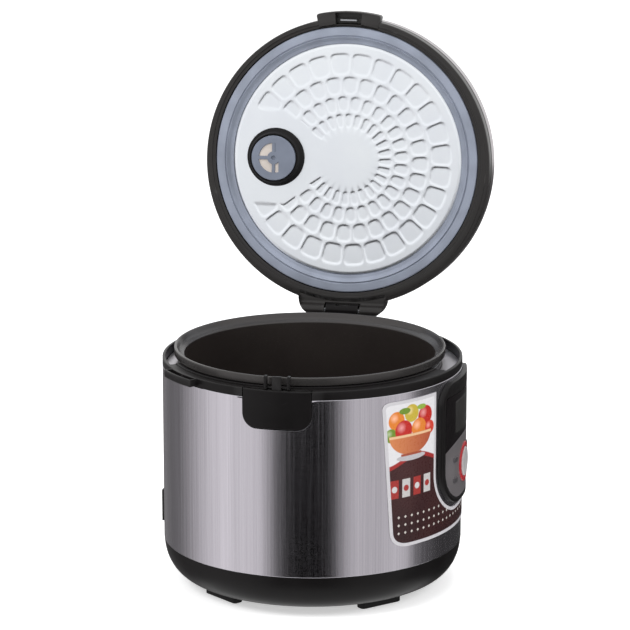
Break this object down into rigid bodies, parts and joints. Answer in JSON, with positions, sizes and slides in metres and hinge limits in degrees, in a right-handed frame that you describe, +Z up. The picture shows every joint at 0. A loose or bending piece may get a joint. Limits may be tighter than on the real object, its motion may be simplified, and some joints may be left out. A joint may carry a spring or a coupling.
{
  "type": "multicooker",
  "caption": "Round countertop multicooker with a sprung hinged lid, press release, lift-out pot, steam valve and a control panel with display window and push buttons.",
  "frame": {"origin": "under the middle of the whole part's box with the lid open, on the surface that the feet stand on", "axes": "+Z up; the control panel faces -Y, the release and latch are at -X, the hinge at +X and the steam valve's side is +Y"},
  "size_m": [0.345, 0.2848, 0.5068],
  "materials": {
    "body_black": "satin moulded black plastic, slightly glossy edges",
    "soft_black": "matt black rubbery plastic",
    "steel": "vertically brushed stainless steel",
    "silver_deck": "silver lacquer, satin",
    "zinc": "zinc-plated steel, dull",
    "cast_aluminium": "cast aluminium, matt",
    "plate_aluminium": "embossed satin aluminium",
    "nonstick": "dark non-stick coating, fine speckle, satin",
    "silicone": "blue-grey silicone, satin",
    "smoked": "smoked blue-grey plastic",
    "panel_silver": "grey metallic lacquer on plastic",
    "window": "dark glossy display window",
    "red": "red translucent plastic",
    "board": "green circuit board",
    "label": null
  },
  "bodies": {
    "housing": {"base_shell": "body_black", "foot_1": "soft_black", "foot_2": "soft_black", "foot_3": "soft_black", "foot_4": "soft_black", "steel_shell": "steel", "top_ring": "body_black", "deck_panel_side": "silver_deck", "deck_steam_side": "silver_deck", "lever_pin": "zinc", "latch_strike": "body_black", "hinge_bracket": "body_black", "hinge_pin": "zinc", "hinge_spring": "zinc", "power_board": "board", "power_inlet": "soft_black", "panel_housing": "body_black", "panel_face": "panel_silver", "display_window": "window", "display_module": "zinc", "control_board": "board", "start_ring": "red", "label_film": "label", "heater_post_1": "zinc", "heater_post_2": "zinc", "heater_post_3": "zinc", "post_screw_1": "zinc", "post_screw_2": "zinc", "post_screw_3": "zinc", "inner_liner": "zinc", "side_heater": "zinc", "heater_plate": "cast_aluminium", "sensor_guide": "zinc", "sensor_spring": "zinc"},
    "lid": {"lid_frame": "body_black", "lid_cover": "steel", "seal_ring": "silicone", "inner_plate": "plate_aluminium", "latch_catch": "plate_aluminium", "lid_screw_1": "zinc", "lid_screw_2": "zinc", "lid_screw_3": "zinc", "lid_screw_4": "zinc", "valve_boot": "soft_black", "valve_cap": "smoked", "steam_duct": "zinc"},
    "steam_vent": {"steam_vent": "body_black"},
    "release_lever": {"release_lever": "body_black"},
    "pot": {"inner_pot": "nonstick"},
    "sensor": {"sensor_cap": "plate_aluminium"},
    "start_button": {"start_button": "soft_black"},
    "button_1": {"panel_button_1": "soft_black"},
    "button_2": {"panel_button_2": "soft_black"},
    "button_3": {"panel_button_3": "soft_black"},
    "button_4": {"panel_button_4": "soft_black"}
  },
  "joints": [
    {"name": "lid_hinge", "type": "hinge", "parent": "housing", "child": "lid", "pos_m": [0.11088, 0.0044, 0.2205], "axis": [0, 1, 0], "range_deg": [-95, 0], "stiffness_Nm_per_rad": 0.6, "springref_deg": 20.05},
    {"name": "release_press", "type": "hinge", "parent": "housing", "child": "release_lever", "pos_m": [-0.16512, 0.0044, 0.2078], "axis": [0, 1, 0], "range_deg": [-5, 0], "stiffness_Nm_per_rad": 0.5, "springref_deg": 5.73},
    {"name": "start_press", "type": "slide", "parent": "housing", "child": "start_button", "axis": [0, 1, 0], "range_m": [0, 0.0008], "stiffness_N_per_m": 200, "springref_m": -0.0005},
    {"name": "button_1_press", "type": "slide", "parent": "housing", "child": "button_1", "axis": [0, 1, 0], "range_m": [0, 0.0008], "stiffness_N_per_m": 200, "springref_m": -0.0005},
    {"name": "button_2_press", "type": "slide", "parent": "housing", "child": "button_2", "axis": [0, 1, 0], "range_m": [0, 0.0008], "stiffness_N_per_m": 200, "springref_m": -0.0005},
    {"name": "button_3_press", "type": "slide", "parent": "housing", "child": "button_3", "axis": [0, 1, 0], "range_m": [0, 0.0008], "stiffness_N_per_m": 200, "springref_m": -0.0005},
    {"name": "button_4_press", "type": "slide", "parent": "housing", "child": "button_4", "axis": [0, 1, 0], "range_m": [0, 0.0008], "stiffness_N_per_m": 200, "springref_m": -0.0005},
    {"name": "sensor_travel", "type": "slide", "parent": "housing", "child": "sensor", "axis": [0, 0, 1], "range_m": [-0.003, 0], "stiffness_N_per_m": 400, "springref_m": 0.003, "deforming": ["sensor_spring"]},
    {"name": "vent_pull", "type": "slide", "parent": "lid", "child": "steam_vent", "axis": [0.9962, 0, -0.0872], "range_m": [0, 0.012]},
    {"name": "pot_lift", "type": "slide", "parent": "housing", "child": "pot", "axis": [0, 0, 1], "range_m": [0, 0.16]}
  ]
}
